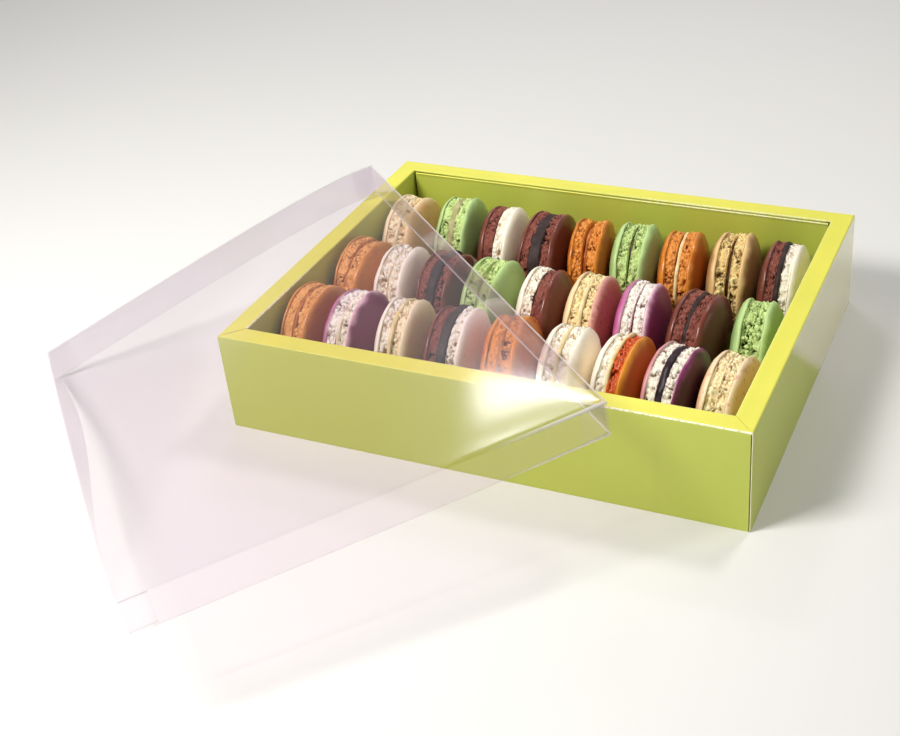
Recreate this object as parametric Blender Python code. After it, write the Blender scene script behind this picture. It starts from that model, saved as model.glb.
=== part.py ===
"""A macaron box: a folded card tray with a wide rim, three rows of nine macarons that
stand on edge in it, and a clear film lid that was lifted off and laid across one side.

Frame: metres, +Z up, X along the tray's front towards the right, Y towards its back,
origin in the middle of the tray's underside, which is what the tray stands on.
"""

import math
import random

import bmesh
import bpy
from mathutils import Vector

MM = 0.001
GAP = 0.3 * MM

# Tray of folded card, its double walls modelled solid
TRAY_WIDTH = 240.0 * MM
TRAY_DEPTH = 187.0 * MM
TRAY_HEIGHT = 48.0 * MM
RIM_WIDTH = 9.6 * MM
TRAY_FLOOR = 1.2 * MM
LINING_DROP = 1.3 * MM
LINING_AT_FRONT_AND_BACK = 1.0 * MM
LINING_AT_SIDES = 0.3 * MM

# One macaron: two domed shells on crumbly feet, with a filling between
FOOT_THICKNESS = 4.8 * MM
FILLING_INSET = 1.5 * MM
FOOT_GROOVE = 0.5 * MM
FOOT_BUMP = 0.5 * MM
DOME_ROUNDNESS = 2.4
DOME_RINGS = 3
SEGMENTS = 20

# Lid of thin film: a flat plate with four turned-down walls, open side down
LID_LENGTH = 243.6 * MM
LID_WIDTH = 189.0 * MM
LID_WALL = 16.0 * MM
FILM = 0.4 * MM
LID_TURN = math.radians(-41.1)
LID_FALL_ALONG = math.radians(0.5)
LID_FALL_ACROSS = math.radians(4.3)
LID_CORNER = Vector((-115.3, 48.0, 66.4)) * MM
# The far left corner of the film hangs down to the table, bent over the tray's corner
SAG = Vector((12.3, 5.4, -36.1)) * MM
SAG_OF_WALL = Vector((0.0, 2.4, 0.0)) * MM
SAG_ROUNDING = 0.06
WALL_BOW = 2.2 * MM
WALL_BOW_SECOND = 2.4 * MM
LID_STEPS_ACROSS = 14
LID_STEPS_ALONG = 12

# Each row's middle depth, then its macarons from left to right: name, thickness, diameter,
# gap to what is on the left, step towards the back, turn about the upright in degrees,
# filling thickness. Lengths are in millimetres.
ROWS = {
    "back": (54.0, (
        ("cream", 24.0, 46.5, 0.5, -2.0, 0, 2.0),
        ("pistachio", 22.5, 47.0, 3.1, 1.5, 7, 3.0),
        ("chocolate_white", 23.0, 46.0, 1.6, 0.0, 5, 1.5),
        ("chocolate", 24.5, 46.0, 0.6, -0.5, 0, 5.5),
        ("orange", 20.5, 45.5, 0.6, 0.0, 6, 2.5),
        ("pistachio", 24.0, 46.5, 0.6, 0.5, 6, 1.5),
        ("orange", 23.0, 45.5, 0.6, 0.0, 5, 3.0),
        ("coffee", 24.5, 47.2, 0.5, 2.4, 4, 1.5),
        ("chocolate_white", 23.0, 46.5, 0.8, 0.0, 2, 3.0),
    )),
    "middle": (2.3, (
        ("orange", 20.0, 46.5, 0.5, 0.8, -2, 3.0),
        ("cream", 22.0, 46.0, 0.5, 0.5, 2, 1.5),
        ("chocolate", 22.5, 46.0, 1.6, 0.5, -1, 4.0),
        ("pistachio", 23.5, 46.5, 0.6, 0.0, -2, 1.5),
        ("white_chocolate", 23.0, 45.5, 3.2, 0.0, 1, 1.5),
        ("peach_rose", 23.5, 46.0, 0.8, 0.0, 1, 4.0),
        ("pink", 23.5, 45.5, 0.8, 0.0, 1, 1.5),
        ("chocolate", 24.5, 45.0, 2.4, -1.0, -5, 4.0),
        ("pistachio", 23.0, 45.0, 2.8, -0.2, 3, 1.5),
    )),
    "front": (-44.5, (
        ("caramel", 19.8, 47.4, 0.4, -0.2, -2, 1.5),
        ("purple", 22.5, 47.0, 0.5, 0.0, 1, 1.5),
        ("cream", 22.5, 46.5, 2.0, 0.2, 5, 3.0),
        ("chocolate_white", 25.0, 46.5, 2.4, 0.0, 3, 3.0),
        ("orange", 23.5, 46.5, 1.8, 0.2, 5, 2.0),
        ("cream", 24.5, 46.5, 3.2, 0.0, 2, 2.0),
        ("white_orange", 23.0, 46.5, 1.2, 0.5, -4, 6.0),
        ("purple", 22.5, 45.5, 0.8, 0.0, -5, 4.0),
        ("rose_speckled", 23.0, 46.5, 0.6, 0.0, -3, 1.5),
    )),
}

CARD_GREEN = (0.55, 0.66, 0.08, 1.0)
FILM_TINT = (0.85, 0.82, 0.86, 1.0)
SHELL_COLOURS = {
    "cream": (0.80, 0.66, 0.44, 1.0),
    "pistachio": (0.40, 0.60, 0.24, 1.0),
    "chocolate_white": (0.14, 0.05, 0.04, 1.0),
    "chocolate": (0.13, 0.04, 0.04, 1.0),
    "orange": (0.60, 0.20, 0.03, 1.0),
    "coffee": (0.50, 0.33, 0.15, 1.0),
    "white_chocolate": (0.82, 0.74, 0.68, 1.0),
    "peach_rose": (0.80, 0.60, 0.42, 1.0),
    "pink": (0.55, 0.16, 0.38, 1.0),
    "caramel": (0.45, 0.17, 0.04, 1.0),
    "purple": (0.30, 0.06, 0.22, 1.0),
    "white_orange": (0.82, 0.74, 0.62, 1.0),
    "rose_speckled": (0.80, 0.60, 0.50, 1.0),
}


def clear_scene():
    for thing in list(bpy.data.objects):
        bpy.data.objects.remove(thing, do_unlink=True)


def material(name, colour, roughness, alpha=1.0):
    made = bpy.data.materials.get(name)
    if made is None:
        made = bpy.data.materials.new(name)
        made.use_nodes = True
        shader = made.node_tree.nodes["Principled BSDF"]
        shader.inputs["Base Color"].default_value = colour
        shader.inputs["Roughness"].default_value = roughness
        shader.inputs["Alpha"].default_value = alpha
    return made


def add_object(name, mesh, finish):
    made = bpy.data.objects.new(name, mesh)
    made.data.materials.append(finish)
    bpy.context.collection.objects.link(made)
    return made


def ring_of_corners(bm, half_width, half_depth, height):
    corners = ((-1, -1), (1, -1), (1, 1), (-1, 1))
    return [bm.verts.new((x * half_width, y * half_depth, height)) for x, y in corners]


def bridge(bm, lower, upper):
    """Quads between two rings of vertices with the same count, facing outwards from the axis
    when the second ring is further along it."""
    count = len(lower)
    for i in range(count):
        j = (i + 1) % count
        bm.faces.new((lower[i], lower[j], upper[j], upper[i]))


def build_tray():
    """The tray's section, swept round its four sides: underside, outer wall, flat rim, the step
    down to the top fold of the lining, the lining's inner face and the floor."""
    half_w, half_d = TRAY_WIDTH / 2, TRAY_DEPTH / 2
    inner_w, inner_d = half_w - RIM_WIDTH, half_d - RIM_WIDTH
    lined_w, lined_d = inner_w - LINING_AT_SIDES, inner_d - LINING_AT_FRONT_AND_BACK
    fold = TRAY_HEIGHT - LINING_DROP
    section = (
        (half_w, half_d, 0.0),
        (half_w, half_d, TRAY_HEIGHT),
        (inner_w, inner_d, TRAY_HEIGHT),
        (inner_w, inner_d, fold),
        (lined_w, lined_d, fold),
        (lined_w, lined_d, TRAY_FLOOR),
    )
    bm = bmesh.new()
    rings = [ring_of_corners(bm, *step) for step in section]
    bm.faces.new(list(reversed(rings[0])))
    for lower, upper in zip(rings, rings[1:]):
        bridge(bm, lower, upper)
    bm.faces.new(rings[-1])
    mesh = bpy.data.meshes.new("tray")
    bm.to_mesh(mesh)
    bm.free()
    add_object("tray", mesh, material("coated card", CARD_GREEN, 0.35))


def macaron_profile(thickness, diameter, filling):
    """Places along the macaron's axis with the radius at each, from one apex to the other."""
    radius = diameter / 2
    dome = (thickness - filling) / 2 - FOOT_THICKNESS
    half = []
    for step in range(1, DOME_RINGS + 1):
        angle = 0.5 * math.pi * step / DOME_RINGS
        along = math.cos(angle) ** (2 / DOME_ROUNDNESS)
        across = math.sin(angle) ** (2 / DOME_ROUNDNESS)
        half.append((filling / 2 + FOOT_THICKNESS + dome * along, radius * across))
    half.append((filling / 2, radius - FOOT_GROOVE))
    half.append((0.3 * filling, radius - FILLING_INSET))
    left = [(-along, across) for along, across in half]
    return left + list(reversed(half)), filling / 2 + FOOT_THICKNESS + dome


def build_macaron(name, colour, thickness, diameter, filling, seed):
    """A turned body on the X axis: rings of vertices between two apexes, its feet uneven."""
    profile, reach = macaron_profile(thickness, diameter, filling)
    foot_reach = filling / 2 + FOOT_THICKNESS
    noise = random.Random(seed)
    bm = bmesh.new()
    rings = []
    for along, across in profile:
        on_foot = filling / 2 <= abs(along) < foot_reach
        ring = []
        for i in range(SEGMENTS):
            angle = 2 * math.pi * i / SEGMENTS
            r = across - (noise.uniform(0, FOOT_BUMP) if on_foot else 0.0)
            ring.append(bm.verts.new((along, r * math.cos(angle), r * math.sin(angle))))
        rings.append(ring)
    first = bm.verts.new((-reach, 0, 0))
    last = bm.verts.new((reach, 0, 0))
    for lower, upper in zip(rings, rings[1:]):
        bridge(bm, lower, upper)
    for i in range(SEGMENTS):
        j = (i + 1) % SEGMENTS
        bm.faces.new((first, rings[0][j], rings[0][i]))
        bm.faces.new((last, rings[-1][i], rings[-1][j]))
    mesh = bpy.data.meshes.new(name)
    bm.to_mesh(mesh)
    bm.free()
    mesh.shade_smooth()
    return add_object(name, mesh, material(f"{colour} shell", SHELL_COLOURS[colour], 0.55))


def build_rows():
    """Each row is packed from the left wall towards the right one."""
    lining = TRAY_WIDTH / 2 - RIM_WIDTH - LINING_AT_SIDES
    seed = 0
    for row, (depth, macarons) in ROWS.items():
        edge = -lining
        for place, (colour, thickness, diameter, gap, back, turn, filling) in enumerate(macarons, 1):
            seed += 1
            name = f"macaron_{row}_{place}"
            made = build_macaron(name, colour, thickness * MM, diameter * MM, filling * MM, seed)
            middle = edge + (gap + thickness / 2) * MM
            lift = TRAY_FLOOR + GAP + diameter / 2 * MM
            made.location = (middle, (depth + back) * MM, lift)
            made.rotation_euler = (0, 0, math.radians(turn))
            edge = middle + thickness / 2 * MM


def lid_axes():
    """Unit vectors along the lid's long side, across it, and out of the plate."""
    along = Vector((math.cos(LID_TURN), math.sin(LID_TURN), -math.tan(LID_FALL_ALONG))).normalized()
    across = Vector((math.sin(LID_TURN), -math.cos(LID_TURN), -math.tan(LID_FALL_ACROSS)))
    across = (across - along * across.dot(along)).normalized()
    return along, across, across.cross(along)


def sag_share(u, v):
    """How far a point follows the hanging corner: 0 behind the plate's diagonal fold, then
    nearly straight up to 1 at the corner itself."""
    ahead = max(u - v, 0.0)
    return ahead * ahead / (ahead + SAG_ROUNDING) * (1 + SAG_ROUNDING)


def plate_point(u, v):
    """On the plate, u across the lid and v along it, both from 0 to 1."""
    along, across, _ = lid_axes()
    flat = LID_CORNER + across * (u * LID_WIDTH) + along * (v * LID_LENGTH)
    return flat + SAG * sag_share(u, v)


def free_edge_point(u, v):
    """Where the wall below a point of the plate's edge ends."""
    _, across, up = lid_axes()
    low = plate_point(u, v) - up * LID_WALL + SAG_OF_WALL * sag_share(u, v)
    if u == 1:
        low -= across * (WALL_BOW * math.sin(math.pi * v) + WALL_BOW_SECOND * math.sin(2 * math.pi * v))
    return low


def lid_edge_walk():
    """Grid places round the plate's edge, once round."""
    m, n = LID_STEPS_ACROSS, LID_STEPS_ALONG
    walk = [(i, 0) for i in range(m)] + [(m, j) for j in range(n)]
    walk += [(i, n) for i in range(m, 0, -1)] + [(0, j) for j in range(n, 0, -1)]
    return walk


def build_lid():
    """The film's outer face as a grid with a strip of wall hung from its edge, then given its
    thickness towards the inside."""
    m, n = LID_STEPS_ACROSS, LID_STEPS_ALONG
    bm = bmesh.new()
    plate = [[bm.verts.new(plate_point(i / m, j / n)) for j in range(n + 1)] for i in range(m + 1)]
    for i in range(m):
        for j in range(n):
            bm.faces.new((plate[i][j], plate[i + 1][j], plate[i + 1][j + 1], plate[i][j + 1]))
    walk = lid_edge_walk()
    low = [bm.verts.new(free_edge_point(i / m, j / n)) for i, j in walk]
    for k, (i, j) in enumerate(walk):
        following = (k + 1) % len(walk)
        ni, nj = walk[following]
        bm.faces.new((plate[i][j], low[k], low[following], plate[ni][nj]))
    bmesh.ops.recalc_face_normals(bm, faces=bm.faces)
    mesh = bpy.data.meshes.new("lid")
    bm.to_mesh(mesh)
    bm.free()
    made = add_object("lid", mesh, material("clear film", FILM_TINT, 0.1, 0.35))
    film = made.modifiers.new("film thickness", "SOLIDIFY")
    film.thickness = FILM
    film.offset = -1
    film.use_even_offset = True


clear_scene()
build_tray()
build_rows()
build_lid()
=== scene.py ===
"""Looks of a macaron box: a lime card tray with a mitred rim, twenty-seven macarons that stand
on edge in three rows, and a clear film lid laid across the tray's left side.

Metres, +Z up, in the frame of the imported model: the tray's front faces -Y.
"""

import math

import bpy
import numpy as np
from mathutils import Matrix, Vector


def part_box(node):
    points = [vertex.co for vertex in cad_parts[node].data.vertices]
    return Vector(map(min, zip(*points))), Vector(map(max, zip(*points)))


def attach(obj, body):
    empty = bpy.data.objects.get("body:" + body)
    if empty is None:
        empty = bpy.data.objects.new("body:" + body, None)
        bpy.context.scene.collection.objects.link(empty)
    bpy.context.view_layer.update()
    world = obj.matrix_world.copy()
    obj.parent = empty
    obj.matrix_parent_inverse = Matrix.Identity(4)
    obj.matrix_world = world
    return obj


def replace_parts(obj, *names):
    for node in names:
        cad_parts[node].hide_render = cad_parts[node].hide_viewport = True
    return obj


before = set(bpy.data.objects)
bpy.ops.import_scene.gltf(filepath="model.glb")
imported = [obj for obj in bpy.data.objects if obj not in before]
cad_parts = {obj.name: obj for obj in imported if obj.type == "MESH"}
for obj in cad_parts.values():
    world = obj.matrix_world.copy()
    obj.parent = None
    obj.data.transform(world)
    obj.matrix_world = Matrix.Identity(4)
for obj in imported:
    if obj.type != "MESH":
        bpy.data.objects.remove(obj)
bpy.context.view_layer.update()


# The studio. A sweep of white paper between white walls. A softbox in front, a little to the
# left, is the main light. One behind on the right throws the tray's soft shadow forwards, a low
# one fills the right wall, and a pale panel with a strip lamp behind is what the lid mirrors.


def linear(hex_colour):
    """An sRGB hex colour as linear red, green and blue, with an alpha of 1."""
    srgb = [int(hex_colour[i:i + 2], 16) / 255 for i in (0, 2, 4)]
    return (*[c / 12.92 if c <= 0.04045 else ((c + 0.055) / 1.055) ** 2.4 for c in srgb], 1.0)


def add_node(tree, kind, inputs=None, **settings):
    """A new node of that kind with its own settings. inputs fills its sockets by name or
    number: an output socket is linked in, and anything else is the socket's plain value. A
    colour Mix has its share at 0 and its two colours at 6 and 7. A Map Range turns the range
    from 1 to 2 into the range from 3 to 4."""
    node = tree.nodes.new(kind)
    for name, value in settings.items():
        setattr(node, name, value)
    for name, value in (inputs or {}).items():
        if isinstance(value, bpy.types.NodeSocket):
            tree.links.new(value, node.inputs[name])
        else:
            node.inputs[name].default_value = value
    return node


def new_material(name, **constants):
    """A material whose Principled BSDF has those plain socket values. Gives it, its node tree,
    that shader and the output of the piece's own coordinates."""
    made = bpy.data.materials.new(name)
    made.use_nodes = True
    shader = made.node_tree.nodes["Principled BSDF"]
    for socket, value in constants.items():
        shader.inputs[socket.replace("_", " ")].default_value = value
    spot = add_node(made.node_tree, "ShaderNodeTexCoord").outputs["Object"]
    return made, made.node_tree, shader, spot


def add_piece(name, points, faces, finish):
    """A smooth-shaded object at the origin from points in metres and lists of corner numbers."""
    mesh = bpy.data.meshes.new(name)
    mesh.from_pydata(points, [], faces)
    mesh.materials.append(finish)
    mesh.shade_smooth()
    piece = bpy.data.objects.new(name, mesh)
    bpy.context.collection.objects.link(piece)
    return piece


# Uncoated white paper scatters light evenly and shows no gloss
paper, tree, shader, spot = new_material("White paper sweep", Roughness=0.9, Specular_IOR_Level=0.2)
mottle = add_node(tree, "ShaderNodeTexNoise", {"Vector": spot, "Scale": 4.0})
shade = add_node(tree, "ShaderNodeMix", {0: mottle.outputs["Fac"], 6: linear("e6e5e4"), 7: linear("eae9e8")},
                 data_type="RGBA")
tree.links.new(shade.outputs[2], shader.inputs["Base Color"])

MM = 0.001  # one millimetre in the scene's metres
FLOOR_REACH = 2.5
FLOOR_LEVEL = -0.05 * MM
corners = [(x * FLOOR_REACH, y * FLOOR_REACH, FLOOR_LEVEL) for x, y in ((-1, -1), (1, -1), (1, 1), (-1, 1))]
floor = add_piece("paper_floor", corners, [(0, 1, 2, 3)], paper)

# The studio's walls are white, so the sky is four times as bright at the horizon as overhead
world = bpy.data.worlds.new("Studio with white walls")
world.use_nodes = True
sky = world.node_tree.nodes["Background"]
sky.inputs["Color"].default_value = linear("fffdfb")
towards = add_node(world.node_tree, "ShaderNodeTexCoord").outputs["Generated"]
upwards = add_node(world.node_tree, "ShaderNodeSeparateXYZ", {0: towards}).outputs["Z"]
glow = add_node(world.node_tree, "ShaderNodeMapRange", {"Value": upwards, 1: 0.05, 2: 0.5, 3: 0.64, 4: 0.16})
world.node_tree.links.new(glow.outputs[0], sky.inputs["Strength"])
bpy.context.scene.world = world
bpy.context.scene.view_settings.view_transform = "Standard"


def add_softbox(name, towards, distance, width, height, watts, colour, aim=(0.0, 0.0, 0.03)):
    """A rectangular area light that far from where it aims, facing it."""
    lamp = bpy.data.lights.new(name, "AREA")
    lamp.shape = "RECTANGLE"
    lamp.size = width
    lamp.size_y = height
    lamp.energy = watts
    lamp.color = linear(colour)[:3]
    box = bpy.data.objects.new(name, lamp)
    box.location = Vector(aim) + Vector(towards).normalized() * distance
    box.rotation_euler = Vector(towards).to_track_quat("Z", "Y").to_euler()
    bpy.context.collection.objects.link(box)


# Each from its aim: direction, distance, width and height in metres, watts and colour
add_softbox("key_softbox", (-0.42, -0.57, 0.77), 0.80, 0.26, 0.26, 6.3, "fffdf8")
add_softbox("back_softbox", (0.221, 0.410, 0.885), 1.042, 0.17, 0.17, 2.8, "fffdf8")
add_softbox("right_fill", (0.95, 0.20, 0.21), 1.0, 0.5, 0.3, 0.9, "fffffb", aim=(0.12, 0.0, 0.02))
add_softbox("back_panel", (-0.45, 0.65, 0.62), 1.5, 1.4, 1.4, 2.0, "fdfdff")
add_softbox("glare_lamp", (-0.385, 0.681, 0.6225), 1.2, 0.22, 0.11, 1.15, "ffffff",
            aim=(0.085, -0.146, 0.063))

# Fitted to the tray's rim and the macarons' outlines: place in metres, turn in degrees
CAMERA_PLACE = (0.22496, -0.52105, 0.36513)
CAMERA_TURN = (57.635, 4.032, 23.354)
lens = bpy.data.cameras.new("camera")
lens.sensor_width = 36.0
lens.lens = 56.651
lens.shift_x = -0.05607
lens.shift_y = -0.01699
camera = bpy.data.objects.new("camera", lens)
camera.location = CAMERA_PLACE
camera.rotation_euler = [math.radians(angle) for angle in CAMERA_TURN]
bpy.context.collection.objects.link(camera)
bpy.context.scene.camera = camera


# The tray's four walls. Each is one strip of folded card, doubled over a wide flat rim, and
# its ends are cut at 45 degrees, so that the rim closes with a mitre at every corner. The
# front corners have sprung open a little. The outer folds are worn white in places, and the
# inner folds carry painted white highlights.

# Faces that meet more sharply than this keep a sharp edge between them
SHARP_FROM = math.radians(50)


def add_attribute(piece, name, values):
    """One number for each of the piece's points, which its material reads by that name."""
    layer = piece.data.attributes.new(name, "FLOAT", "POINT")
    layer.data.foreach_set("value", np.asarray(values, dtype=np.float32).ravel())


def outward(points, faces):
    """The faces, turned round if the volume they enclose comes out negative: the sum over each
    face's fan of triangles of corner . (corner x corner), which is six times the volume."""
    total = 0.0
    for block in faces:
        corners = points[block]
        for k in range(1, block.shape[1] - 1):
            total += np.einsum("ij,ij->", corners[:, 0], np.cross(corners[:, k], corners[:, k + 1]))
    return faces if total > 0 else [block[:, ::-1] for block in faces]


def closed_rings(name, rings, finish, poles=None):
    """A closed skin over rings of points, shaped (ring, place, xyz). Each ring joins the next
    with quads. The ends are closed with a flat cap each, or with a fan to the two poles."""
    count, places = rings.shape[:2]
    points = rings.reshape(-1, 3)
    place = np.arange(places)
    after = (place + 1) % places
    base = (np.arange(count - 1) * places)[:, None]
    quads = np.stack([base + place, base + after, base + places + after, base + places + place], axis=-1)
    faces = [quads.reshape(-1, 4)]
    last = (count - 1) * places
    if poles is None:
        faces += [place[None, ::-1], last + place[None, :]]
    else:
        first_pole = len(points)
        points = np.concatenate([points, poles])
        faces.append(np.stack([after, place, np.full(places, first_pole)], axis=-1))
        faces.append(np.stack([last + place, last + after, np.full(places, first_pole + 1)], axis=-1))
    faces = outward(points, faces)
    return add_piece(name, points.tolist(), [face for block in faces for face in block.tolist()], finish)


def quarter_fold(centre, radius, start, steps):
    """Points on a quarter circle that turns clockwise from the start angle, in degrees."""
    angle = np.radians(start) - np.linspace(0, np.pi / 2, steps)
    return np.stack([centre[0] + radius * np.cos(angle), centre[1] + radius * np.sin(angle)], axis=-1)


# Shares from 0 to 1 that the card reads: on the rim's flat top, where light is painted; worn white
# and painted highlight; painted shade where two cards meet; smooth lacquer with painted sheen
CARD_ATTRIBUTES = ("top", "wear_and_highlight", "seam_shade", "polish_and_sheen")


# Folding card with a lime print under a satin lacquer: an even colour, painted lighter and yellower
# where the rim lies flat to the light, with a broad soft sheen, a painted pale sheen on the right
# wall, a white core where a fold has cracked, painted white highlights on the inner folds and the
# linings' crests, and painted shade, a deep green, where two cards meet
def lime_card():
    card, tree, shader, spot = new_material("Lime printed folding card, satin lacquer", IOR=1.5)
    top, wear_and_highlight, seam_shade, polish_and_sheen = [add_node(tree, "ShaderNodeAttribute", attribute_name=name).outputs["Fac"]
                               for name in CARD_ATTRIBUTES]
    # Blotches about 25 mm across, from uneven ink
    blotch = add_node(tree, "ShaderNodeTexNoise", {"Vector": spot, "Scale": 1 / (25 * MM), "Detail": 3.0})
    deeper = add_node(tree, "ShaderNodeMapRange", {"Value": blotch.outputs["Fac"], 1: 0.3, 2: 0.75, 4: 0.16})
    # Cracks and painted fold highlights are broken up at 1.5 mm, about as long as fibres pull out of a fold
    chips = add_node(tree, "ShaderNodeTexNoise", {"Vector": spot, "Scale": 1 / (1.5 * MM), "Detail": 3.0})
    broken = add_node(tree, "ShaderNodeMapRange", {"Value": chips.outputs["Fac"], 1: 0.32, 2: 0.55})
    worn_and_highlit = add_node(tree, "ShaderNodeMath", {0: wear_and_highlight, 1: broken.outputs[0]}, operation="MULTIPLY")
    # Painted sheen: where the lacquer is smoothest it is painted paler, a painted reflection of the floor
    painted_sheen = add_node(tree, "ShaderNodeMapRange", {"Value": polish_and_sheen, 1: 0.35, 2: 1.0, 4: 0.85})
    # Over the walls' lime: the rim's lime painted lighter and yellower, blotches, cracks and painted
    # highlights, the painted sheen and the painted shade where cards meet
    colour = linear("bdc655")
    for share, over in ((top, "e9e457"), (deeper.outputs[0], "a9b443"), (worn_and_highlit.outputs[0], "f8f6e4"),
                        (painted_sheen.outputs[0], "f2edc8"), (seam_shade, "39461a")):
        layer = add_node(tree, "ShaderNodeMix", {0: share, 6: colour, 7: linear(over)}, data_type="RGBA")
        colour = layer.outputs[2]
    tree.links.new(colour, shader.inputs["Base Color"])
    # The lacquer is smoother on the right wall's back half, where the painted sheen lies
    satin = add_node(tree, "ShaderNodeMapRange", {"Value": polish_and_sheen, 3: 0.42, 4: 0.12})
    tree.links.new(satin.outputs[0], shader.inputs["Roughness"])
    # Fibres under the lacquer, drawn at 0.8 mm so that they show
    fibre = add_node(tree, "ShaderNodeTexNoise", {"Vector": spot, "Scale": 1 / (0.8 * MM)})
    relief = add_node(tree, "ShaderNodeBump", {"Height": fibre.outputs["Fac"], "Strength": 0.12,
                                               "Distance": 0.05 * MM})
    tree.links.new(relief.outputs["Normal"], shader.inputs["Normal"])
    return card


card = lime_card()
TRAY_HALF_WIDTH, TRAY_HALF_DEPTH, TRAY_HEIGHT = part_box("tray")[1]
RIM_WIDTH = 9.6 * MM
RIM_HOLLOW = 0.12 * MM
FOLD_RADIUS = 0.7 * MM
FOLD_STEPS = 6
WALL_BOW = 0.3 * MM
WALL_STATIONS = 61
CORNER_OPENS_OVER = 3 * MM


def wall_section():
    """Across one wall from its outer foot over the rim to its inner foot: how far each point
    is behind the outer face, its height, and four shares from 0 to 1: how far it lies on the
    rim, on the outer fold, on the inner fold, and in the dark band that the lining leaves below
    it, which is painted shade."""
    rise = np.linspace(0, TRAY_HEIGHT - FOLD_RADIUS, 14)[:-1]
    below_fold = TRAY_HEIGHT - np.array([0.9, 1.4, 2.5, 4.0]) * MM
    across = np.linspace(FOLD_RADIUS, RIM_WIDTH - FOLD_RADIUS, 9)[1:-1]
    hollow = RIM_HOLLOW * np.sin(np.pi * (across - FOLD_RADIUS) / (RIM_WIDTH - 2 * FOLD_RADIUS))
    outer = np.stack([0 * rise, rise], axis=-1)
    outer_fold = quarter_fold((FOLD_RADIUS, TRAY_HEIGHT - FOLD_RADIUS), FOLD_RADIUS, 180, FOLD_STEPS)
    rim = np.stack([across, TRAY_HEIGHT - hollow], axis=-1)
    inner_centre = (RIM_WIDTH - FOLD_RADIUS, TRAY_HEIGHT - FOLD_RADIUS)
    inner_fold = quarter_fold(inner_centre, FOLD_RADIUS, 90, FOLD_STEPS)
    inner_height = np.concatenate([below_fold, rise[-2::-1]])
    inner = np.stack([0 * inner_height + RIM_WIDTH, inner_height], axis=-1)
    section = np.concatenate([outer, outer_fold, rim, inner_fold, inner])
    first, second = len(outer), len(outer) + len(outer_fold) + len(rim)
    on_rim, outer_edge, inner_edge, seam_shade = np.zeros((4, len(section)))
    on_rim[first:second] = 1.0
    on_rim[first:first + FOLD_STEPS] = np.linspace(0, 1, FOLD_STEPS)
    on_rim[second:second + FOLD_STEPS] = np.linspace(1, 0.3, FOLD_STEPS)
    outer_edge[first + 1:first + FOLD_STEPS - 1] = 1.0
    inner_edge[second + 1:second + FOLD_STEPS - 1] = 1.0
    # Painted shade on the inner face just below the inner fold, in the groove behind the lining
    seam_shade[second + FOLD_STEPS - 1:second + FOLD_STEPS + 4] = 0.5, 0.8, 1.0, 1.0, 0.4
    return section, on_rim, outer_edge, inner_edge, seam_shade


def turned(points, quarter):
    """Points given for the front wall, turned by quarters of a turn anticlockwise from above."""
    x, y, z = points[..., 0], points[..., 1], points[..., 2]
    return np.stack([(x, y), (-y, x), (-x, -y), (y, -x)][quarter] + (z,), axis=-1)


def fades_in(share, start, end):
    """0 before start, 1 after end, and an eased rise between them."""
    t = np.clip((share - start) / (end - start), 0, 1)
    return t * t * (3 - 2 * t)


def evenly(amount):
    """The same amount all along a wall, as a function of the share of its length and height."""
    return lambda share, height=0.0: amount + 0 * share * height


def build_wall(name, quarter, inner_fold_highlight, wear_outer=evenly(0), seam_shade_depth=evenly(0), polish_and_sheen=evenly(0.3),
               open_left=0.0, open_right=0.0, slit_right=0.0):
    """One wall swept along its side. At each station the section is moved to its share of the
    side's length, which gets shorter by the point's depth behind the outer face, as a mitre
    does, and by the gap that the corner has opened there. Wear and painted highlight, the depth
    of the painted shade where cards meet, and smoothness with painted sheen are functions of the
    share, from -1 to 1 along the side, and smoothness and sheen also of the height."""
    section, on_rim, outer_edge, inner_edge, seam_shade = wall_section()
    half_length, reach = ((TRAY_HALF_WIDTH, TRAY_HALF_DEPTH), (TRAY_HALF_DEPTH, TRAY_HALF_WIDTH))[quarter % 2]
    behind, height = section[:, 0], section[:, 1]
    share = np.linspace(-1, 1, WALL_STATIONS)[:, None]
    opened = np.where(share < 0, open_left, open_right) * np.clip(behind / CORNER_OPENS_OVER, 0.25, 1)
    slit = np.where((share > 0) & (behind < 1e-6), slit_right, 0.0)
    length = half_length - behind - np.maximum(opened, slit)
    bow = WALL_BOW * (1 - share ** 2) * np.sin(np.pi * height / TRAY_HEIGHT) * (behind < RIM_WIDTH / 2)
    x = share * length
    y = -(reach - behind - bow)
    z = height + 0 * share
    piece = closed_rings(name, turned(np.stack([x, y, z], axis=-1), quarter), card)
    piece.data.set_sharp_from_angle(angle=SHARP_FROM)
    # Painted shade down the inner corners where the mitres meet
    in_corner = (np.abs(share) == 1) & (behind == RIM_WIDTH) & (seam_shade_depth(share) > 0)
    add_attribute(piece, "top", np.broadcast_to(on_rim, x.shape))
    add_attribute(piece, "wear_and_highlight", outer_edge * wear_outer(share) + inner_edge * inner_fold_highlight(share))
    add_attribute(piece, "seam_shade", np.maximum(seam_shade * seam_shade_depth(share), 0.9 * in_corner))
    add_attribute(piece, "polish_and_sheen", polish_and_sheen(share, height) * (1 - on_rim) * (behind < RIM_WIDTH / 2))
    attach(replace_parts(piece, "tray"), "root")


def right_wall_sheen(share, height):
    """How smooth the right wall's lacquer is, and how strongly its painted sheen shows: smooth
    and painted pale on its back half, up to a border that falls from the front to the back."""
    return 0.15 + 0.85 * fades_in(share + 0.66 * height / TRAY_HEIGHT, 0.24, 0.38)


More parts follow.
